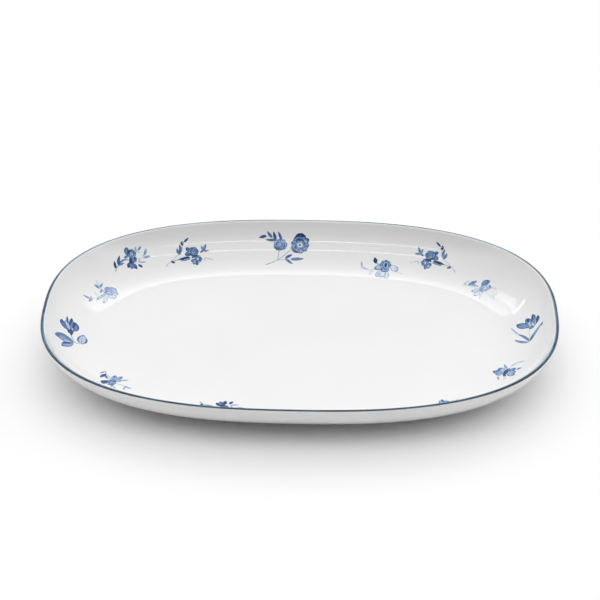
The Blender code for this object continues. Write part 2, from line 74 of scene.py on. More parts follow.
# Brush strokes of the sprigs.
STEM_WIDTH = 0.72  # mm
TIP_WIDTH = 0.18
LEAF_SKEW = 0.85
PETAL_SKEW = 1.5
FULLNESS = 0.75
STROKE_FILM = 0.018 * MM
LAYER_STEP = 0.003 * MM  # each stroke of a sprig lies this much over the one painted before it
ALONG_STEPS = {"stem": 10, "leaf": 12, "petal": 12, "dot": 10}
ACROSS_STEPS = 6
EDGE_WOBBLE = 0.10  # share of a stroke's width
LEAF_EDGE = 0.14  # how much darker a stroke's outline is than its middle
PETAL_EDGE = 0.32
STEM_TAPER = 0.35  # how much thinner a stem ends than it starts
EDGE_WAVES = 3  # wobbles along one edge of a stroke
SEED_STEP = 0.37  # sets one stroke's wobble and streaks apart from the next one's
PETAL_FADE = 0.14  # every second petal of a ring is lighter by this
INNER_PETALS = 0.66  # reach of a bloom's inner ring, as a share of its radius
INNER_WIDTH = 0.6  # of the outer petals' width
INNER_DARKER = 0.12
INNER_TURN = 0.5  # radians
OUTER_ROOT = 0.1  # where the outer petals start, as a share of the radius
HEART_SIZE, CORE_SIZE = 0.30, 0.14  # shares of the radius

# Camera, worked out from the outline the platter shows.
VIEW_ELEVATION = math.radians(31.5)
VIEW_TURN = math.radians(1.9)
VIEW_DISTANCE = 1.505
AIM_BEYOND_CENTRE = 0.0111
LENS = 132.1
SENSOR = 36.0

Stroke = namedtuple("Stroke", "form x y end_x end_y width bow tone edge")
Sprig = namedtuple("Sprig", "name drawing bearing climb mirrored shade")

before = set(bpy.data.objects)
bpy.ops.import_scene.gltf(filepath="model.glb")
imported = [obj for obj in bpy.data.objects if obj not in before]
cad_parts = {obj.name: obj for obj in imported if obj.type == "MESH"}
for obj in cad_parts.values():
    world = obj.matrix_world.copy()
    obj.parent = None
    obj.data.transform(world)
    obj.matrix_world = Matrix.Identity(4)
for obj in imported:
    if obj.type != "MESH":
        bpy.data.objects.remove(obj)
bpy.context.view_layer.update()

# What follows from the sizes above.
HALF_LENGTH = LENGTH / 2
HALF_WIDTH = WIDTH / 2
BODY_HEIGHT = HEIGHT - COLOUR_PROUD
LIP_REACH = WALL_RADIUS + LIP_RADIUS
COVE_INSET = LIP_RADIUS + LIP_REACH * math.sin(WALL_ANGLE)
COVE_Z = BODY_HEIGHT - LIP_RADIUS + LIP_REACH * math.cos(WALL_ANGLE)
FLOOR_Z = COVE_Z - WALL_RADIUS
UNDERSIDE_Z = FLOOR_Z - BASE_THICKNESS


# ---------------------------------------------------------------- outline and wall

def rim_point(bearing):
    """The lip's outermost point in a compass direction, and the outward direction there."""
    c, s = math.cos(bearing), math.sin(bearing)
    power = OUTLINE_POWER
    reach = (abs(c / HALF_LENGTH) ** power + abs(s / HALF_WIDTH) ** power) ** (-1 / power)
    x, y = reach * c, reach * s
    slope_x = math.copysign(abs(x / HALF_LENGTH) ** (power - 1) / HALF_LENGTH, x)
    slope_y = math.copysign(abs(y / HALF_WIDTH) ** (power - 1) / HALF_WIDTH, y)
    return Vector((x, y)), Vector((slope_x, slope_y)).normalized()


def section_point(bearing, inset, z):
    """A point of the cross-section, given by its distance inside the rim and its height."""
    rim, outward = rim_point(bearing)
    flat = rim - outward * inset
    return Vector((flat.x, flat.y, z))


def cove_point(bearing, climb, lift):
    """A point over the inner wall: climb up the wall from the floor edge, lift off its surface.

    A climb below zero is a place that far in on the well's floor.
    """
    if climb < 0:
        return section_point(bearing, COVE_INSET - climb, FLOOR_Z + lift)
    angle = climb / WALL_RADIUS
    radius = WALL_RADIUS - lift
    inset = COVE_INSET - radius * math.sin(angle)
    return section_point(bearing, inset, COVE_Z - radius * math.cos(angle))


def lip_point(angle, radius):
    """A point round the lip's centre, its angle measured up from straight outwards."""
    centre_inset = COVE_INSET - LIP_REACH * math.sin(WALL_ANGLE)
    centre_z = COVE_Z - LIP_REACH * math.cos(WALL_ANGLE)
    return centre_inset - radius * math.cos(angle), centre_z + radius * math.sin(angle)


# ---------------------------------------------------------------- body

def heel_thickness(angle):
    """Wall thickness under a point of the cove: thin at the lip and full at the heel."""
    lip = 2 * LIP_RADIUS
    return lip + (HEEL_THICKNESS - lip) * (1 - (angle / WALL_ANGLE) ** HEEL_TAPER)


def wall_section():
    """The inside of the wall, from the edge of the floor up to the lip."""
    angles = [WALL_ANGLE * i / WALL_STEPS for i in range(WALL_STEPS + 1)]
    return [(COVE_INSET - WALL_RADIUS * math.sin(a), COVE_Z - WALL_RADIUS * math.cos(a))
            for a in angles]


def lip_section():
    """The half-round nose of the lip, from the inside over the top to the outside."""
    inner = math.pi / 2 + WALL_ANGLE
    return [lip_point(inner - math.pi * i / LIP_STEPS, LIP_RADIUS) for i in range(1, LIP_STEPS)]


def heel_section():
    """The outside of the wall, from the lip down to the root of the foot ring."""
    lowest = math.asin((COVE_INSET - FOOT_INSET + FOOT_SPLAY) / (WALL_RADIUS + HEEL_THICKNESS))
    points = []
    for i in range(HEEL_STEPS + 1):
        angle = WALL_ANGLE + (lowest - WALL_ANGLE) * i / HEEL_STEPS
        radius = WALL_RADIUS + heel_thickness(angle)
        points.append((COVE_INSET - radius * math.sin(angle), COVE_Z - radius * math.cos(angle)))
    return points


def rounded(before, corner, after, radius):
    """Points that round the corner between two straight runs."""
    corner = Vector(corner)
    back = (Vector(before) - corner).normalized() * radius
    ahead = (Vector(after) - corner).normalized() * radius
    points = []
    for i in range(FILLET_STEPS + 1):
        t = i / FILLET_STEPS
        points.append(corner + back * (1 - t) ** 2 + ahead * t ** 2)
    return [tuple(p) for p in points]


def foot_section(root):
    """The foot ring from the root on the heel side to the flat underside."""
    inner = FOOT_INSET + FOOT_WIDTH
    outer_toe = (FOOT_INSET - FOOT_EDGE, 0.0)
    inner_toe = (inner + FOOT_EDGE, 0.0)
    inner_root = (inner + FOOT_SPLAY, UNDERSIDE_Z)
    under = (inner_root[0] + UNDERSIDE_RUN, UNDERSIDE_Z)
    points = rounded(root, outer_toe, inner_toe, FOOT_TOE)
    points += rounded(outer_toe, inner_toe, inner_root, FOOT_TOE)
    points += rounded(inner_toe, inner_root, under, FOOT_FILLET)
    return points + [under]


def bearings():
    return [2 * math.pi * i / OUTLINE_STEPS for i in range(OUTLINE_STEPS)]


def new_mesh_piece(name, mesh):
    """Puts a finished mesh in the scene as one smooth piece."""
    bmesh.ops.recalc_face_normals(mesh, faces=mesh.faces)
    data = bpy.data.meshes.new(name)
    mesh.to_mesh(data)
    mesh.free()
    data.shade_smooth()
    piece = bpy.data.objects.new(name, data)
    bpy.context.scene.collection.objects.link(piece)
    return piece


def bridge(mesh, rings):
    """Joins each ring of vertices to the next with a belt of quads."""
    for ring, following in zip(rings, rings[1:]):
        for i, corner in enumerate(ring):
            j = (i + 1) % len(ring)
            mesh.faces.new((corner, ring[j], following[j], following[i]))


def cap(mesh, ring, z):
    """Closes a ring with a flat disc of triangles."""
    centre = mesh.verts.new((0, 0, z))
    for i, corner in enumerate(ring):
        mesh.faces.new((centre, corner, ring[(i + 1) % len(ring)]))


def make_body(glaze, bisque):
    """The china body, glazed all over except on its standing face."""
    mesh = bmesh.new()
    heel = heel_section()
    section = wall_section() + lip_section() + heel + foot_section(heel[-1])
    rings = [[mesh.verts.new(section_point(b, inset, z)) for b in bearings()]
             for inset, z in section]
    bridge(mesh, rings)
    cap(mesh, rings[0], FLOOR_Z)
    cap(mesh, rings[-1], UNDERSIDE_Z)
    piece = new_mesh_piece("china_body", mesh)
    piece.data.materials.append(glaze)
    piece.data.materials.append(bisque)
    for face in piece.data.polygons:
        if face.center.z < BISQUE_HEIGHT:
            face.material_index = 1
    return piece


def band_edges(bearing):
    """The angles of the rim line's outer and inner edge, which wander a little."""
    rim, _ = rim_point(bearing)
    place = Vector((rim.x, rim.y, 0)) * BAND_WOBBLE_SCALE
    wider = BAND_SPREAD * math.cos(bearing) ** 4
    start = BAND_START - wider + BAND_WOBBLE * noise.noise(place)
    end = BAND_END + wider / 2 + BAND_WOBBLE * noise.noise(place + Vector((0, 0, 7)))
    return start, end


def make_band(paint):
    """The rim line: a closed film over the lip. Inward runs from 0 at its outer edge to 1."""
    mesh = bmesh.new()
    inward = mesh.verts.layers.float.new("inward")
    shares = [i / BAND_STEPS for i in range(BAND_STEPS + 1)]
    outline = [(share, FILM_GAP + BAND_FILM) for share in reversed(shares)]
    outline += [(share, FILM_GAP) for share in shares]
    columns = []
    for bearing in bearings():
        start, end = band_edges(bearing)
        column = []
        for share, lift in outline:
            inset, z = lip_point(start + (end - start) * share, LIP_RADIUS + lift)
            vertex = mesh.verts.new(section_point(bearing, inset, z))
            vertex[inward] = share
            column.append(vertex)
        columns.append(column)
    bridge(mesh, columns + [columns[0]])
    piece = new_mesh_piece("rim_line", mesh)
    piece.data.set_sharp_from_angle(angle=SMOOTH_ANGLE)
    piece.data.materials.append(paint)
    return piece


# ---------------------------------------------------------------- flower strokes
# A drawing is a list of strokes on the unrolled wall, in millimetres: x to the right and y up the
# wall for someone in the well who looks out at it. Tone runs from 0, a pale wash, to 1, navy.

def stem(x, y, end_x, end_y, tone, bow=0.0, width=STEM_WIDTH):
    return [Stroke("stem", x, y, end_x, end_y, width, bow, tone, 0.0)]


def leaf(x, y, end_x, end_y, width, tone, bow=0.0, edge=LEAF_EDGE):
    return [Stroke("leaf", x, y, end_x, end_y, width, bow, tone, edge)]


def petal(x, y, end_x, end_y, width, tone, bow=0.0, edge=PETAL_EDGE):
    return [Stroke("petal", x, y, end_x, end_y, width, bow, tone, edge)]


def dot(x, y, radius, tone, tall=1.0):
    return [Stroke("dot", x, y - radius * tall, x, y + radius * tall, 2 * radius, 0.0, tone, 0.0)]


def petal_ring(x, y, inner, outer, petals, width, tone, turn=0.0):
    """Petals all round a point, every second one a little lighter."""
    strokes = []
    for i in range(petals):
        angle = turn + 2 * math.pi * i / petals
        c, s = math.cos(angle), math.sin(angle)
        shade = tone - PETAL_FADE * (i % 2)
        strokes += petal(x + inner * c, y + inner * s, x + outer * c, y + outer * s, width, shade)
    return strokes


def bloom(x, y, radius, petals, tone, heart=0.15, core=0.85):
    """A round flower: outer and inner petals, a light heart and a dark core."""
    width = 2 * math.pi * radius / petals
    strokes = petal_ring(x, y, OUTER_ROOT * radius, radius, petals, width, tone)
    strokes += petal_ring(x, y, 0.0, INNER_PETALS * radius, petals - 1, INNER_WIDTH * width,
                          tone + INNER_DARKER, turn=INNER_TURN)
    strokes += dot(x, y, HEART_SIZE * radius, heart)
    strokes += dot(x, y, CORE_SIZE * radius, core)
    return strokes


def tulip_spray():
    """A closed tulip lying to the right, two broad leaves and one rounded leaf below."""
    return (
        stem(-4.8, -6.0, -4.8, -2.8, 0.25)
        + stem(-4.8, -6.0, -1.8, -3.0, 0.28, bow=0.3)
        + stem(-2.2, -3.4, 5.0, -0.6, 0.28, bow=0.4, width=1.0)
        + stem(-4.8, -5.6, -3.4, -8.8, 0.30)
        + leaf(-4.6, -3.6, -8.6, 11.8, 8.8, 0.52, bow=-1.4)
        + leaf(-5.4, -3.6, -17.4, 6.0, 5.8, 0.46, bow=-0.5)
        + leaf(-6.0, -3.2, -12.6, 4.6, 1.8, 0.88, bow=-0.3)
        + leaf(-5.4, -2.4, -8.8, 4.8, 1.8, 0.22)
        + stem(-4.9, -2.6, -8.0, 10.4, 0.85, bow=-1.2, width=0.55)
        + stem(-4.2, -1.8, -6.4, 9.0, 0.80, bow=-2.2, width=0.45)
        + leaf(-4.4, -8.6, 8.6, -9.8, 6.8, 0.14, edge=0.45)
        + leaf(-3.4, -8.4, 7.0, -9.0, 1.4, 0.58, bow=2.2)
        + leaf(-3.2, -10.2, 6.6, -11.0, 1.4, 0.58, bow=-1.9)
        + stem(-3.4, -9.0, 4.4, -9.4, 0.60, width=0.6)
        + petal(6.4, 0.0, 16.0, 4.6, 4.8, 0.22, bow=0.3)
        + petal(6.4, 0.2, 13.6, 8.2, 5.2, 0.62, bow=1.6)
        + petal(7.0, -0.6, 21.4, 1.0, 3.4, 0.50)
        + petal(6.8, -1.2, 18.6, -1.8, 5.2, 0.60, bow=-1.8)
        + leaf(12.0, 1.6, 21.6, 1.0, 1.7, 0.90)
        + leaf(13.0, 3.0, 20.6, 4.8, 1.8, 0.80)
        + leaf(11.4, -1.8, 18.8, -1.2, 1.6, 0.85)
        + petal(1.6, -1.2, 9.2, -0.4, 3.6, 0.80)
        + leaf(3.6, 0.4, 8.4, 2.2, 2.0, 0.82)
    )


def open_tulip():
    """A tulip thrown open to the left on a thin stem, with three slender leaves."""
    return (
        stem(-5.6, -2.6, 10.2, -3.8, 0.10, bow=-0.5)
        + petal(-6.0, -1.6, -18.4, -11.4, 6.2, 0.54)
        + petal(-7.0, 1.0, -21.4, 1.4, 3.8, 0.56, bow=-0.2)
        + petal(-6.0, -1.0, -20.6, -3.8, 5.0, 0.52)
        + petal(-5.8, 0.2, -15.8, 4.8, 3.6, 0.82, bow=-1.4)
        + petal(-8.6, -0.6, -4.4, -1.6, 4.4, 0.55)
        + leaf(-14.2, -2.8, -20.0, -2.6, 1.9, 0.88)
        + leaf(-13.6, 0.6, -20.8, 1.0, 1.5, 0.85)
        + stem(-8.6, -2.2, -14.6, -2.6, 0.10, width=1.0)
        + stem(-7.6, 1.8, -13.4, 2.4, 0.20, bow=-0.4, width=0.8)
        + stem(-8.0, -3.8, -15.4, -9.0, 0.80, width=0.7)
        + leaf(10.0, -3.2, -3.8, 8.4, 3.0, 0.46, bow=1.6)
        + leaf(9.6, -3.1, 3.4, -0.4, 1.9, 0.80, bow=0.3)
        + leaf(-0.4, 7.0, -3.8, 7.8, 1.5, 0.62)
        + leaf(10.2, -3.7, -5.0, -12.2, 2.2, 0.55, bow=-1.0)
        + leaf(-3.0, -11.0, -15.6, -15.6, 1.6, 0.28, bow=0.2)
        + leaf(10.4, -4.0, 1.2, -14.4, 2.4, 0.50, bow=1.0)
    )


def posy():
    """Two round blooms on a curving stem, a bud spike to the left and a sprout to the right."""
    return (
        stem(-19.8, -7.6, -14.0, -4.0, 0.18, bow=0.7)
        + stem(-14.4, -4.2, -1.0, -2.8, 0.32, bow=0.1)
        + stem(-15.2, -4.4, -7.6, 0.6, 0.14, bow=0.5)
        + leaf(-15.4, -4.0, -12.4, -5.8, 1.9, 0.68)
        + leaf(-0.8, -2.7, -9.8, -3.5, 2.4, 0.92)
        + leaf(-0.2, -3.8, -8.2, -5.0, 1.6, 0.40)
        + leaf(-7.8, 0.2, -8.8, 5.6, 2.0, 0.55, bow=0.4)
        + leaf(-7.6, 0.2, -6.8, 8.2, 2.2, 0.62, bow=-0.7)
        + stem(-7.4, 0.6, -4.9, 7.4, 0.18, bow=-0.8)
        + leaf(-4.9, 6.8, -4.6, 10.4, 2.2, 0.98)
        + stem(-4.8, 8.8, -2.6, 10.0, 0.20)
        + leaf(-3.4, 9.2, 0.4, 12.2, 1.6, 0.76)
        + stem(5.0, 1.0, 8.2, 0.8, 0.06)
        + leaf(9.8, 1.8, 7.0, 0.0, 1.6, 0.60)
        + leaf(9.6, 1.2, 8.6, 5.4, 1.7, 0.54)
        + leaf(9.8, 1.4, 12.2, 6.4, 1.8, 0.56)
        + leaf(9.4, 1.1, 13.9, 1.3, 1.7, 0.46)
        + stem(7.0, -5.6, 9.8, -4.9, 0.03)
        + stem(9.6, -7.0, 10.0, -4.4, 0.12, width=0.9)
        + stem(9.8, -4.6, 16.0, -7.2, 0.14, bow=0.5, width=0.9)
        + petal(1.4, 0.4, -4.2, -0.2, 4.0, 0.62)
        + petal(1.0, 0.8, -2.6, 5.2, 3.0, 0.66)
        + bloom(2.4, 1.4, 3.8, 6, 0.54, heart=0.42, core=0.75)
        + petal(3.4, -5.0, -0.6, -6.6, 3.2, 0.55)
        + petal(3.4, -5.0, 0.8, -9.2, 3.4, 0.25, edge=0.45)
        + petal(3.8, -5.4, 3.2, -10.4, 2.4, 0.55)
        + bloom(4.7, -4.9, 3.1, 6, 0.50, heart=0.05, core=0.30)
        + leaf(0.2, -3.4, 6.0, -2.2, 1.5, 0.92, bow=0.6)
        + leaf(-1.8, 0.2, 1.6, -1.6, 1.5, 0.92)
    )


def rose_spray():
    """A ruffled rose and a smaller bloom on a forked stem, with leaflets above and below."""
    return (
        stem(-13.6, -14.0, -4.6, -9.4, 0.30, bow=-0.2, width=0.9)
        + stem(-4.8, -9.6, -3.6, 0.2, 0.34)
        + stem(-4.8, -9.6, 5.2, 0.2, 0.30, bow=-0.3)
        + stem(-4.8, -9.6, 1.4, -8.6, 0.14)
        + stem(-5.0, 5.8, -13.8, 9.6, 0.16, bow=-0.5)
        + leaf(0.6, -8.2, 6.0, -4.8, 2.3, 0.68, bow=0.3)
        + leaf(4.4, -8.8, 14.4, -8.2, 2.7, 0.52)
        + stem(0.8, -8.6, 5.4, -8.8, 0.20)
        + leaf(0.8, -8.4, 6.4, -13.2, 2.1, 0.56)
        + leaf(-12.8, 9.8, -18.0, 8.4, 2.3, 0.78)
        + leaf(-8.8, 8.2, -12.4, 13.0, 2.0, 0.70)
        + leaf(-6.2, 6.0, -7.9, 12.8, 2.3, 0.78)
        + leaf(-2.2, 6.0, -4.7, 12.8, 2.0, 0.70, bow=-0.3)
        + leaf(-5.8, 6.4, -13.8, 6.7, 2.0, 0.74)
        + bloom(-2.4, 3.0, 4.6, 7, 0.36, heart=0.32, core=0.40)
        + bloom(-3.8, 3.0, 4.2, 7, 0.42, heart=0.28, core=0.45)
        + leaf(-7.6, 1.4, -1.0, -0.6, 2.0, 0.80, bow=-0.9)
        + petal(11.6, 3.6, 7.2, 8.8, 5.0, 0.74)
        + petal(12.0, 3.6, 17.6, 7.8, 4.2, 0.66)
        + petal(11.2, 3.6, 12.8, 11.8, 7.0, 0.62)
        + leaf(7.4, 7.2, 15.4, 8.6, 3.0, 0.98, bow=2.4)
        + leaf(15.0, 7.6, 17.9, 7.0, 1.9, 0.95)
        + bloom(11.2, 2.9, 6.7, 9, 0.46, heart=0.06, core=0.70)
        + leaf(8.0, 6.6, 14.2, 6.4, 1.9, 0.88, bow=0.5)
        + leaf(5.2, 0.0, 10.4, -3.2, 1.4, 0.82, bow=-0.6)
    )


def round_bloom_spray():
    """A dark double bloom with stiff leaves to the left and fine leaflets to the right."""
    return (
        stem(-15.2, -4.2, -12.8, -1.6, 0.42, width=0.9)
        + stem(-13.2, -1.8, -9.4, -0.6, 0.42, width=0.9)
        + leaf(-10.6, -0.7, -5.2, -0.3, 1.7, 0.58)
        + leaf(-10.0, -0.8, -0.8, 0.4, 1.4, 0.58, bow=1.9)
        + leaf(-10.4, -0.7, -6.2, 5.8, 2.3, 0.74, bow=0.3)
        + leaf(-13.8, -2.0, -11.7, 3.4, 2.1, 0.90)
        + petal(0.4, 3.8, -3.8, 3.0, 2.2, 0.60)
        + petal(-0.4, 3.0, 0.8, 10.0, 3.8, 0.56, bow=0.5)
        + petal(0.2, -0.6, -4.4, -4.8, 3.0, 0.74)
        + petal(0.0, -0.8, -1.8, -6.8, 3.0, 0.50)
        + petal(0.4, -0.8, 1.8, -8.0, 3.0, 0.66)
        + stem(2.8, -1.2, 4.8, -5.4, 0.05)
        + leaf(4.3, -4.7, 6.7, -7.8, 2.2, 0.84)
        + stem(3.4, -1.0, 6.6, -3.6, 0.05)
        + leaf(5.4, -3.3, 11.0, -4.4, 1.4, 0.24)
        + leaf(5.9, -3.2, 6.9, -0.2, 1.4, 0.26)
        + stem(4.4, 0.4, 10.8, -0.9, 0.05)
        + leaf(9.9, -0.9, 15.6, -0.5, 1.7, 0.40)
        + leaf(10.3, -0.9, 10.8, 1.8, 1.3, 0.20)
        + stem(10.2, -0.8, 12.2, 2.0, 0.08)
        + leaf(11.4, 0.8, 14.2, 5.4, 1.9, 0.42)
        + stem(5.0, 5.4, 9.0, 6.2, 0.08)
        + leaf(8.0, 5.7, 10.9, 7.8, 1.6, 0.50)
        + leaf(6.2, 5.5, 7.0, 8.6, 1.4, 0.30)
        + leaf(6.4, 5.7, 8.9, 3.8, 1.3, 0.12)
        + bloom(2.2, 0.2, 2.9, 6, 0.66, heart=0.50, core=0.70)
        + bloom(2.6, 4.4, 3.5, 6, 0.50, heart=0.22, core=0.50)
        + petal(0.6, 2.8, -0.6, -2.8, 2.3, 1.00)
        + leaf(-0.6, 4.6, 4.8, 6.6, 1.5, 0.85, bow=1.0)
    )


def low_bloom():
    """A round bloom over pale drooping petals, with a dark bud and a thin twig to the left."""
    return (
        stem(-5.6, -2.4, -13.8, -3.3, 0.03)
        + leaf(-13.2, -3.2, -19.6, -0.9, 1.7, 0.18)
        + leaf(-18.0, -1.2, -19.2, 4.2, 1.6, 0.26)
        + leaf(-10.0, -3.0, -12.4, -8.6, 2.4, 0.03)
        + stem(6.4, -2.6, 12.8, -4.6, 0.05, width=0.9)
        + petal(-2.4, -1.6, -6.8, -10.4, 4.8, 0.10, edge=0.26)
        + petal(-0.8, -1.6, 1.2, -11.4, 5.0, 0.05, edge=0.26)
        + petal(-1.6, -1.6, -3.0, -10.8, 5.6, 0.07, edge=0.26)
        + petal(0.2, 2.2, 7.4, -3.2, 5.0, 0.03, bow=1.4, edge=0.42)
        + petal(-1.4, 1.4, -9.2, -2.0, 4.8, 0.26, edge=0.38)
        + stem(-4.4, 0.8, -8.9, 4.2, 0.50, width=1.0)
        + leaf(-8.5, 3.2, -9.9, 8.4, 3.0, 1.00)
        + petal(-1.6, 1.6, -1.2, -4.6, 6.4, 0.44)
        + bloom(-1.4, 2.7, 4.3, 8, 0.48, heart=0.20, core=0.50)
        + dot(-1.3, 2.6, 1.8, 0.28, tall=1.5)
        + dot(-1.3, 2.4, 0.95, 1.00, tall=2.2)
    )


def washed_blossom():
    """A pale blossom of soft overlapping petals, with a three-leaved sprout above it."""
    return (
        stem(-8.2, -1.2, 5.0, -4.8, 0.03, bow=-0.4)
        + leaf(-8.4, -1.3, -12.9, -0.5, 1.8, 0.50)
        + leaf(-9.2, -1.0, -10.8, 5.8, 1.8, 0.50)
        + leaf(-9.0, -1.0, -6.6, 0.9, 1.5, 0.30)
        + leaf(-2.2, -3.0, -1.2, 0.8, 1.7, 0.12)
        + petal(6.4, -6.0, -7.0, -4.0, 2.2, 0.30)
        + petal(6.4, -7.0, -7.2, -9.8, 3.2, 0.13)
        + petal(7.0, -6.0, 4.8, -13.2, 6.4, 0.15)
        + petal(7.4, -6.2, 12.6, -11.0, 5.4, 0.24)
        + petal(7.4, -6.2, 15.0, -6.4, 6.4, 0.24, edge=0.34)
        + petal(6.8, -6.0, 11.2, -1.8, 5.4, 0.32)
        + petal(6.6, -6.0, 5.4, -2.4, 4.6, 0.26)
        + bloom(6.8, -6.2, 3.0, 5, 0.30, heart=0.15, core=0.38)
        + leaf(4.8, -4.6, 13.6, -4.4, 2.0, 0.50, bow=1.3)
        + stem(5.8, -3.6, 5.3, 1.6, 0.14)
        + leaf(5.9, -0.8, 1.4, -2.4, 1.7, 0.48)
        + leaf(5.2, 0.4, 3.9, 5.4, 2.4, 0.50)
        + leaf(5.1, 0.8, 10.3, 2.8, 1.8, 0.45)
        + leaf(5.3, 0.8, 7.8, 7.4, 1.4, 0.18)
    )


def light_sprig():
    """A half-open flower with small leaves to the left and wisps to the right."""
    return (
        stem(-2.4, -1.4, -12.8, -2.9, 0.15, bow=0.8)
        + stem(-12.2, -2.8, -16.2, -4.6, 0.15)
        + leaf(-15.6, -4.6, -14.5, 1.0, 1.6, 0.32, bow=0.3)
        + leaf(-12.6, -3.2, -9.3, 3.2, 2.9, 0.60, bow=0.2)
        + leaf(-11.6, -2.2, -5.2, -1.0, 1.7, 0.44, bow=0.5)
        + petal(-1.4, -2.0, -7.2, -7.2, 4.0, 0.20)
        + petal(-1.0, -2.0, 1.8, -7.0, 3.4, 0.06)
        + petal(-1.4, -2.2, -1.8, -10.2, 3.6, 0.14)
        + leaf(1.0, -5.6, 5.0, -10.4, 1.5, 0.12)
        + stem(1.8, 2.2, 6.4, 3.6, 0.05)
        + leaf(3.2, 2.6, 4.4, 5.4, 1.3, 0.14)
        + leaf(5.4, 3.2, 7.2, 4.9, 1.3, 0.14)
        + stem(1.6, -0.8, 9.2, -3.1, 0.04, bow=-0.6)
        + leaf(8.4, -3.1, 14.2, -3.2, 1.9, 0.09)
        + leaf(9.2, -3.0, 11.3, 1.2, 1.5, 0.12)
        + petal(-2.4, -1.0, -1.0, 7.2, 4.6, 0.58, bow=1.6)
        + bloom(-0.2, 0.4, 3.0, 5, 0.28, heart=0.12, core=0.32)
        + leaf(-4.0, -0.2, 1.0, -3.2, 2.1, 0.48, bow=-0.8)
        + leaf(0.0, 4.4, 3.2, 1.4, 1.5, 0.46, bow=0.5)
    )


def trailing_blossom():
    """A dark-hearted blossom with long thin sprays curving up to the left."""
    return (
        stem(-8.2, -4.8, -14.0, -3.4, 0.06)
        + leaf(-13.0, -3.5, -17.6, 0.8, 1.8, 0.30, bow=-0.2)
        + leaf(-16.7, -0.6, -16.2, 6.2, 1.6, 0.15)
        + leaf(-9.4, -5.6, -15.8, -8.6, 1.9, 0.42)
        + stem(-8.8, -1.0, -8.3, 2.6, 0.10)
        + leaf(-8.1, 1.6, -8.9, 5.4, 2.3, 0.54)
        + stem(-2.0, -6.8, 3.0, -8.2, 0.05)
        + leaf(1.6, -8.4, 6.4, -5.9, 1.7, 0.36)
        + leaf(-1.6, -4.0, 6.0, -2.3, 1.4, 0.15)
        + petal(-3.2, -5.6, -0.6, -11.0, 3.8, 0.38)
        + petal(-3.8, -5.8, -4.6, -14.2, 5.2, 0.50)
        + petal(-4.4, -5.8, -10.8, -11.0, 5.2, 0.30, edge=0.45)
        + petal(-4.8, -4.8, -4.8, 2.6, 4.4, 0.38)
        + petal(-3.8, -4.8, -0.5, 3.0, 4.6, 0.44)
        + petal(-5.4, -4.8, -9.9, 0.8, 4.0, 0.58)
        + petal(-4.4, -5.2, -10.6, -4.0, 2.8, 0.55)
        + petal(-2.6, -5.0, 0.8, -4.0, 2.4, 0.72)
        + leaf(-9.2, -5.2, 0.0, -5.2, 2.7, 0.90)
        + leaf(-9.6, -9.6, -4.0, -11.4, 1.6, 0.74, bow=-0.5)
    )


# Where each sprig sits: bearing in degrees round from +X, climb in millimetres up the wall. Shade
# is added to the tone of all its strokes.
SPRIGS = [
    Sprig("sprig_open_tulip", open_tulip, 0.5, 27.0, False, 0.0),
    Sprig("sprig_light", light_sprig, 29.5, 16.0, False, -0.10),
    Sprig("sprig_posy_right", posy, 49.0, 27.6, True, 0.0),
    Sprig("sprig_low_bloom", low_bloom, 62.0, 14.0, False, 0.0),
    Sprig("sprig_rose", rose_spray, 97.0, 27.0, False, 0.0),
    Sprig("sprig_posy_left", posy, 127.0, 26.0, False, 0.05),
    Sprig("sprig_round_bloom", round_bloom_spray, 144.2, 30.0, False, 0.0),
    Sprig("sprig_washed", washed_blossom, 160.5, 20.0, False, -0.08),
    Sprig("sprig_tulip", tulip_spray, 184.5, 24.0, False, 0.0),
    Sprig("sprig_light_near", light_sprig, 209.8, 7.5, True, 0.18),
    Sprig("sprig_low_bloom_near", low_bloom, 229.0, 29.0, True, 0.0),
    Sprig("sprig_round_bloom_near", round_bloom_spray, 246.6, 5.0, True, 0.1),
    Sprig("sprig_rose_near", rose_spray, 282.0, 27.0, False, 0.0),
    Sprig("sprig_posy_near", posy, 314.5, 13.0, True, 0.0),
    Sprig("sprig_trailing", trailing_blossom, 341.0, 15.0, False, -0.04),
]


# ---------------------------------------------------------------- sprig meshes

def half_width(stroke, t):
    """Half the stroke's width at a share t of its length."""
    if stroke.form == "stem":
        shape = 1 - STEM_TAPER * t
    elif stroke.form == "dot":
        shape = math.sqrt(max(0.0, 1 - (2 * t - 1) ** 2))
    else:
        skew = LEAF_SKEW if stroke.form == "leaf" else PETAL_SKEW
        shape = max(0.0, math.sin(math.pi * t ** skew)) ** FULLNESS
    return max(stroke.width * shape, TIP_WIDTH) / 2


def ribbon_rows(stroke, seed):
    """Rows of points across a stroke, from its root to its tip, each with its share across."""
    steps = ALONG_STEPS[stroke.form]
    start = Vector((stroke.x, stroke.y))
    run = Vector((stroke.end_x, stroke.end_y)) - start
    aside = Vector((-run.y, run.x)).normalized()
    rows = []
    for i in range(steps + 1):
        t = i / steps
        middle = start + run * t + aside * stroke.bow * 4 * t * (1 - t)
        ahead = run + aside * stroke.bow * 4 * (1 - 2 * t)
        across = Vector((-ahead.y, ahead.x)).normalized() * half_width(stroke, t)
        row = []
        for j in range(ACROSS_STEPS + 1):
            share = 2 * j / ACROSS_STEPS - 1
            waver = 1 + EDGE_WOBBLE * noise.noise(Vector((t * EDGE_WAVES, share, seed)))
            row.append((middle + across * share * waver, t, share))
        rows.append(row)
    return rows


def wall_map(sprig):
    """A function that carries a point of the flat drawing to its place over the wall."""
    middle = math.radians(sprig.bearing)
    before = cove_point(middle - BEARING_NUDGE, sprig.climb * MM, 0)
    after = cove_point(middle + BEARING_NUDGE, sprig.climb * MM, 0)
    metres_per_radian = (after - before).length / (2 * BEARING_NUDGE)
    side = -1 if sprig.mirrored else 1

    def place(point, lift):
        bearing = middle - side * point.x * MM / metres_per_radian
        return cove_point(bearing, (sprig.climb + point.y) * MM, lift)

    return place


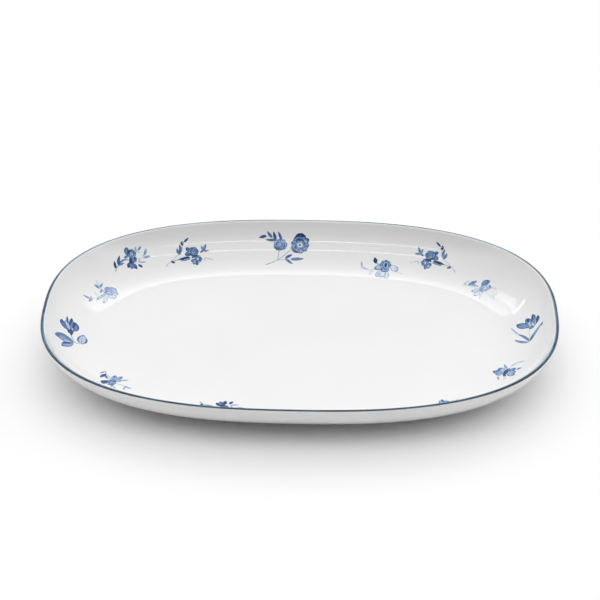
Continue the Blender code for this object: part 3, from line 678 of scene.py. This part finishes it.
def add_stroke(mesh, layers, stroke, shade, seed, place, top):
    """Adds one closed film of colour to the sprig's mesh."""
    rows = ribbon_rows(stroke, seed)
    sheets = []
    for lift in (top, FILM_GAP):
        sheet = []
        for row in rows:
            sheet.append([])
            for point, t, share in row:
                vertex = mesh.verts.new(place(point, lift))
                vertex[layers["tone"]] = stroke.tone + shade
                vertex[layers["along"]] = t
                vertex[layers["across"]] = share
                vertex[layers["seed"]] = seed
                vertex[layers["stem"]] = float(stroke.form == "stem")
                vertex[layers["edge"]] = stroke.edge
                sheet[-1].append(vertex)
        sheets.append(sheet)
    over, under = sheets
    last_row, last = len(rows) - 1, ACROSS_STEPS
    for i in range(last_row):
        for j in range(last):
            mesh.faces.new((over[i][j], over[i + 1][j], over[i + 1][j + 1], over[i][j + 1]))
            mesh.faces.new((under[i][j + 1], under[i + 1][j + 1], under[i + 1][j], under[i][j]))
    edge = [(0, j) for j in range(last)] + [(i, last) for i in range(last_row)]
    edge += [(last_row, j) for j in range(last, 0, -1)] + [(i, 0) for i in range(last_row, 0, -1)]
    for (a, b), (c, d) in zip(edge, edge[1:] + edge[:1]):
        mesh.faces.new((over[a][b], over[c][d], under[c][d], under[a][b]))


def make_sprig(sprig, paint):
    """One sprig: its strokes in the order they are painted, each a film over the last."""
    mesh = bmesh.new()
    names = ("tone", "along", "across", "seed", "stem", "edge")
    layers = {name: mesh.verts.layers.float.new(name) for name in names}
    place = wall_map(sprig)
    for order, stroke in enumerate(sprig.drawing()):
        seed = order * SEED_STEP + sprig.bearing
        top = FILM_GAP + STROKE_FILM + order * LAYER_STEP
        add_stroke(mesh, layers, stroke, sprig.shade, seed, place, top)
    piece = new_mesh_piece(sprig.name + "_paint", mesh)
    piece.data.set_sharp_from_angle(angle=SMOOTH_ANGLE)
    piece.data.materials.append(paint)
    return piece


# ---------------------------------------------------------------- materials

class Graph:
    """A node tree that is built up by small steps, each of which returns an output socket."""

    def __init__(self, tree):
        self.nodes = tree.nodes
        self.links = tree.links

    def node(self, kind, **inputs):
        made = self.nodes.new(kind)
        for name, value in inputs.items():
            self.feed(made.inputs[name.replace("_", " ")], value)
        return made

    def feed(self, socket, value):
        if isinstance(value, bpy.types.NodeSocket):
            self.links.new(value, socket)
        else:
            socket.default_value = value

    def math(self, operation, first, second=0.0, third=0.0):
        made = self.nodes.new("ShaderNodeMath")
        made.operation = operation
        for socket, value in zip(made.inputs, (first, second, third)):
            self.feed(socket, value)
        return made.outputs[0]

    def band(self, value, low, high, to_low=0.0, to_high=1.0):
        """Maps value from low..high to to_low..to_high, smoothly and clamped."""
        made = self.nodes.new("ShaderNodeMapRange")
        made.interpolation_type = "SMOOTHSTEP"
        for name, number in zip(("Value", "From Min", "From Max", "To Min", "To Max"),
                                (value, low, high, to_low, to_high)):
            self.feed(made.inputs[name], number)
        return made.outputs[0]

    def ramp(self, value, stops, easing="LINEAR"):
        made = self.node("ShaderNodeValToRGB", Fac=value)
        ramp = made.color_ramp
        ramp.interpolation = easing
        while len(ramp.elements) < len(stops):
            ramp.elements.new(0.5)
        for element, (position, colour) in zip(ramp.elements, stops):
            element.position = position
            element.color = (*colour, 1)
        return made.outputs["Color"]


class Shader(Graph):
    """A Principled material whose inputs are fed by small procedural graphs."""

    def __init__(self, name):
        self.material = bpy.data.materials.new(name)
        self.material.use_nodes = True
        super().__init__(self.material.node_tree)
        self.surface = self.nodes["Principled BSDF"]

    def set(self, **inputs):
        for name, value in inputs.items():
            self.feed(self.surface.inputs[name.replace("_", " ")], value)

    def attribute(self, name):
        made = self.nodes.new("ShaderNodeAttribute")
        made.attribute_name = name
        return made.outputs["Fac"]

    def place(self):
        """The shaded point in the piece's own metres."""
        return self.nodes.new("ShaderNodeTexCoord").outputs["Object"]

    def noise(self, scale, detail=3.0, vector=None, roughness=0.5):
        vector = vector or self.place()
        made = self.node("ShaderNodeTexNoise", Vector=vector, Scale=scale, Detail=detail,
                         Roughness=roughness)
        return made.outputs["Fac"]

    def variation(self, noise_value, depth):
        """A noise, which lies round 0.5, as a change of up to half the depth either way."""
        return self.math("MULTIPLY", self.math("SUBTRACT", noise_value, 0.5), depth)

    def combine(self, x, y, z):
        return self.node("ShaderNodeCombineXYZ", X=x, Y=y, Z=z).outputs[0]

    def mix(self, share, first, second):
        """Blends two colours. Sockets 6, 7 and 2 are the ones for colours."""
        made = self.nodes.new("ShaderNodeMix")
        made.data_type = "RGBA"
        self.feed(made.inputs["Factor"], share)
        for socket, value in ((made.inputs[6], first), (made.inputs[7], second)):
            self.feed(socket, value)
        return made.outputs[2]

    def bump(self, height, strength, distance):
        made = self.node("ShaderNodeBump", Height=height, Strength=strength, Distance=distance)
        self.feed(self.surface.inputs["Normal"], made.outputs[0])
        return made.outputs[0]


def srgb(text):
    """A hex colour as the linear values Blender's sockets hold."""
    values = [int(text[i:i + 2], 16) / 255 for i in (0, 2, 4)]
    return tuple(v / 12.92 if v <= 0.04045 else ((v + 0.055) / 1.055) ** 2.4 for v in values)


# Glaze. Noise scales count features per metre.
GLAZE_IOR = 1.50
GLAZE_ROUGHNESS = 0.03
GLAZE_TONES = [(0.3, srgb("e8e8e8")), (0.7, srgb("ebebeb"))]
GLAZE_TONE_SCALE = 14.0
WAVE_SCALE = 26.0
PIT_SCALE = 900.0
PIT_HEIGHT = 0.03  # beside the waves, which have 1
GLAZE_BUMP = 0.06
GLAZE_RELIEF = 1.2 * MM
DULLING_SCALE = 55.0
DULLING = 0.03  # roughness that the dullest patches gain


def glaze_finish(shader, roughness):
    """The clear glaze: glossy, with a faint waviness that bends what it reflects."""
    waves = shader.noise(WAVE_SCALE, detail=1.0)
    pits = shader.noise(PIT_SCALE, detail=2.0)
    height = shader.math("MULTIPLY_ADD", pits, PIT_HEIGHT, waves)
    shader.bump(height, GLAZE_BUMP, GLAZE_RELIEF)
    dull = shader.band(shader.noise(DULLING_SCALE), 0.3, 0.7, roughness, roughness + DULLING)
    shader.set(Roughness=dull, IOR=GLAZE_IOR)


def glaze_material():
    """White china under clear glaze, a touch uneven in tone."""
    shader = Shader("white_glaze")
    cloud = shader.noise(GLAZE_TONE_SCALE, detail=4.0)
    shader.set(Base_Color=shader.ramp(cloud, GLAZE_TONES))
    glaze_finish(shader, GLAZE_ROUGHNESS)
    return shader.material


BISQUE_ROUGHNESS = 0.85
BISQUE_TONES = [(0.35, srgb("b9b3a8")), (0.55, srgb("e2ded5")), (0.80, srgb("eceae4"))]
RUB_SCALE = 160.0
GRAIN_SCALE = 4200.0
GRAIN_BUMP = 0.35
GRAIN_RELIEF = 0.1 * MM


def bisque_material():
    """The unglazed standing face: dry, slightly warm, rubbed grey in patches."""
    shader = Shader("bisque")
    rub = shader.noise(RUB_SCALE, detail=6.0, roughness=0.7)
    grain = shader.noise(GRAIN_SCALE, detail=2.0)
    shader.set(Base_Color=shader.ramp(rub, BISQUE_TONES), Roughness=BISQUE_ROUGHNESS)
    shader.bump(grain, GRAIN_BUMP, GRAIN_RELIEF)
    return shader.material


RIM_INK = [
    (0.35, srgb("041b27")), (0.60, srgb("0c2e3f")), (0.82, srgb("28526a")), (1.00, srgb("6f90a5")),
]
RIM_ROUGHNESS = 0.10
FLOW_SCALE = 38.0
BRUSH_SCALE = 420.0
BRUSH_SHARE = 0.25
GLARE_FROM = 0.45  # share of the line's width where the painted glare starts
PAINTED_GLARE = 0.45


def rim_material():
    """Teal blue, thinner in some stretches than in others, and lighter towards its inner edge over
    the lip's top as a painted glare.
    """
    shader = Shader("rim_blue")
    flow = shader.noise(FLOW_SCALE, detail=5.0, roughness=0.6)
    brush = shader.noise(BRUSH_SCALE)
    # Painted glare: the line turns lighter towards its inner edge, over the top of the lip.
    painted_glare = shader.band(shader.attribute("inward"), GLARE_FROM, 1.0, 0.0, PAINTED_GLARE)
    lightness = shader.math("ADD", shader.math("MULTIPLY_ADD", brush, BRUSH_SHARE, flow), painted_glare)
    shader.set(Base_Color=shader.ramp(lightness, RIM_INK))
    glaze_finish(shader, RIM_ROUGHNESS)
    return shader.material


INK = [
    (0.00, srgb("dde3ec")), (0.16, srgb("bccade")), (0.34, srgb("93abce")), (0.52, srgb("648ab9")),
    (0.68, srgb("43699e")), (0.84, srgb("264c80")), (1.00, srgb("0c305c")),
]
STEM_INK = [
    (0.00, srgb("d9e0e3")), (0.25, srgb("a9bcc4")), (0.50, srgb("7690a6")), (0.80, srgb("3d5c88")),
    (1.00, srgb("1d3561")),
]
INK_ROUGHNESS = 0.08
INK_SHINE = 0.28  # the ink reflects less than the bare glaze, which has 0.5
OUTLINE_START, OUTLINE_END = 0.62, 0.98  # from the middle line, 0, to the edge of the stroke, 1
TIP_SHARE = 0.97  # how much a stroke's tip counts as its edge
STREAKS_ACROSS, STREAKS_ALONG = 3.2, 1.1  # noise features over half a width and over a length
STREAK_DEPTH = 0.95
WASH_SCALE = 420.0
WASH_DEPTH = 0.45


def ink_material():
    """Cobalt blue laid on with a brush: dark outlines, streaks along each stroke, pale washes."""
    shader = Shader("cobalt_ink")
    tone, along = shader.attribute("tone"), shader.attribute("along")
    across, seed = shader.attribute("across"), shader.attribute("seed")
    side = shader.math("ABSOLUTE", across)
    tip = shader.math("MULTIPLY", along, TIP_SHARE)
    outline = shader.band(shader.math("MAXIMUM", side, tip), OUTLINE_START, OUTLINE_END)
    grid = shader.combine(shader.math("MULTIPLY", across, STREAKS_ACROSS),
                          shader.math("MULTIPLY", along, STREAKS_ALONG), seed)
    streak = shader.variation(shader.noise(1.0, vector=grid), STREAK_DEPTH)
    wash = shader.variation(shader.noise(WASH_SCALE), WASH_DEPTH)
    dark = shader.math("MULTIPLY_ADD", outline, shader.attribute("edge"), tone)
    dark = shader.math("ADD", dark, streak)
    dark = shader.math("ADD", dark, wash)
    blue = shader.ramp(dark, INK)
    grey = shader.ramp(dark, STEM_INK)
    colour = shader.mix(shader.attribute("stem"), blue, grey)
    shader.set(Base_Color=colour, Specular_IOR_Level=INK_SHINE)
    glaze_finish(shader, INK_ROUGHNESS)
    return shader.material


# ---------------------------------------------------------------- stage

FLOOR_SIZE = 30.0
FLOOR_TONES = [(0.3, (0.92, 0.92, 0.92)), (0.7, (0.94, 0.94, 0.94))]
FLOOR_TONE_SCALE = 3.0
FLOOR_ROUGHNESS = 0.95
FLOOR_DROP = 0.02 * MM  # keeps the floor clear of the standing face

# Radiance of the dome by angle, in degrees from the horizon behind over the top to the one in front.
DOME_FRONT = [(80, 1.05), (95, 1.52), (112, 1.96), (124, 1.20), (136, 0.30), (160, 0.12), (180, 0.05)]
DOME_MIDDLE = [(0, 0.84), (36.4, 0.84), (38, 2.60), (46, 2.30), (54, 1.50), (62, 1.25)] + DOME_FRONT
DOME_SIDES = [(0, 0.84), (40, 1.22), (62, 1.22)] + DOME_FRONT
DOME_PEAK = 3.0
DOME_SIDE_LOSS = 0.17  # share of the light lost at the far left and right
DOME_TILT = 0.07  # how much brighter the right is than the middle
DOME_SIDE_START, DOME_SIDE_END = 0.25, 0.60  # where middle fades into side; 1 is fully sideways


def floor_material():
    """Matt white paper."""
    shader = Shader("floor_white")
    grain = shader.noise(FLOOR_TONE_SCALE, detail=2.0)
    shader.set(Base_Color=shader.ramp(grain, FLOOR_TONES), Roughness=FLOOR_ROUGHNESS,
               Specular_IOR_Level=0.0)
    return shader.material


def make_floor():
    mesh = bmesh.new()
    bmesh.ops.create_grid(mesh, x_segments=8, y_segments=8, size=FLOOR_SIZE / 2)
    floor = new_mesh_piece("studio_floor", mesh)
    floor.location.z = -FLOOR_DROP
    floor.data.materials.append(floor_material())


# Panels of light that the glaze mirrors. Azimuth 0 is behind the platter and 90 to its left, and
# azimuth, elevation and roll are in degrees.
Lamp = namedtuple("Lamp", "name azimuth elevation roll width height radiance")
LAMP_DISTANCE = 1.7
LAMPS = [
    Lamp("window_softbox", 30, 43, 0, 0.36, 0.40, 1.9),
    Lamp("window_sill", 31, 32, -22, 0.62, 0.06, 3.2),
    Lamp("strip_high", 0, 97, 0, 1.4, 0.032, 8.0),
    Lamp("strip_front", 0, 115, 0, 1.4, 0.032, 8.0),
]


def dome_stops(profile):
    """A dome profile as colour stops from 0 to 1, both ways."""
    return [(degrees / 180, (radiance / DOME_PEAK,) * 3) for degrees, radiance in profile]


def make_world():
    """A dome of soft light, strongest overhead and behind and dim towards the camera.

    The camera itself sees the dome as the white of a backdrop.
    """
    world = bpy.data.worlds.new("studio")
    bpy.context.scene.world = world
    world.use_nodes = True
    graph = Graph(world.node_tree)
    place = graph.nodes.new("ShaderNodeTexCoord").outputs["Generated"]
    x, y, z = graph.node("ShaderNodeSeparateXYZ", Vector=place).outputs
    angle = graph.math("DIVIDE", graph.math("ARCTAN2", z, y), math.pi)
    middle = graph.ramp(angle, dome_stops(DOME_MIDDLE), easing="EASE")
    sides = graph.ramp(angle, dome_stops(DOME_SIDES), easing="EASE")
    aside = graph.math("ABSOLUTE", x)
    fade = graph.band(aside, DOME_SIDE_START, DOME_SIDE_END, 0.0, 1.0)
    change = graph.math("SUBTRACT", sides, middle)
    level = graph.math("MULTIPLY_ADD", change, fade, middle)
    evenness = graph.math("MULTIPLY_ADD", aside, -DOME_SIDE_LOSS, 1.0)
    evenness = graph.math("MULTIPLY_ADD", x, DOME_TILT, evenness)
    seen = graph.nodes.new("ShaderNodeLightPath").outputs["Is Camera Ray"]
    unseen = graph.math("SUBTRACT", 1.0, seen)
    strength = graph.math("MULTIPLY", unseen, graph.math("MULTIPLY", evenness, DOME_PEAK))
    dome = graph.node("ShaderNodeBackground", Color=level, Strength=strength)
    backdrop = graph.node("ShaderNodeBackground", Color=(1, 1, 1, 1), Strength=seen)
    both = graph.nodes.new("ShaderNodeAddShader")
    graph.feed(both.inputs[0], dome.outputs[0])
    graph.feed(both.inputs[1], backdrop.outputs[0])
    graph.feed(graph.nodes["World Output"].inputs["Surface"], both.outputs[0])


def add_softbox(lamp):
    """A soft panel that only shows in the glaze."""
    light = bpy.data.lights.new(lamp.name, "AREA")
    light.shape = "RECTANGLE"
    light.size, light.size_y = lamp.width, lamp.height
    light.energy = lamp.radiance * math.pi * lamp.width * lamp.height
    panel = bpy.data.objects.new(lamp.name, light)
    around, up = math.radians(lamp.azimuth), math.radians(lamp.elevation)
    toward = Vector((-math.sin(around) * math.cos(up), math.cos(around) * math.cos(up), math.sin(up)))
    facing = toward.to_track_quat("Z", "Y") @ Quaternion((0, 0, 1), math.radians(lamp.roll))
    panel.location = toward * LAMP_DISTANCE
    panel.rotation_euler = facing.to_euler()
    panel.visible_camera = False
    panel.visible_diffuse = False
    bpy.context.scene.collection.objects.link(panel)


def make_camera():
    """Looks at the platter from in front and above, through a long lens."""
    turn, elevation = VIEW_TURN, VIEW_ELEVATION
    beyond = Vector((-math.sin(turn), math.cos(turn), 0))
    aim = beyond * AIM_BEYOND_CENTRE + Vector((0, 0, BODY_HEIGHT))
    back = Vector((math.sin(turn) * math.cos(elevation), -math.cos(turn) * math.cos(elevation),
                   math.sin(elevation)))
    data = bpy.data.cameras.new("main_camera")
    data.lens = LENS
    data.sensor_width = SENSOR
    camera = bpy.data.objects.new("main_camera", data)
    camera.location = aim + back * VIEW_DISTANCE
    camera.rotation_euler = back.to_track_quat("Z", "Y").to_euler()
    bpy.context.scene.collection.objects.link(camera)
    bpy.context.scene.camera = camera


# ---------------------------------------------------------------- build

def stand_in(piece, node):
    """The piece rides on the platter and stands for a CAD node, which it hides."""
    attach(piece, "root")
    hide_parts(node)


stand_in(make_body(glaze_material(), bisque_material()), "platter_body")
stand_in(make_band(rim_material()), "rim_band")
ink = ink_material()
for placed in SPRIGS:
    stand_in(make_sprig(placed, ink), placed.name)
make_floor()
make_world()
for lamp in LAMPS:
    add_softbox(lamp)
make_camera()
bpy.context.scene.view_settings.view_transform = "Standard"
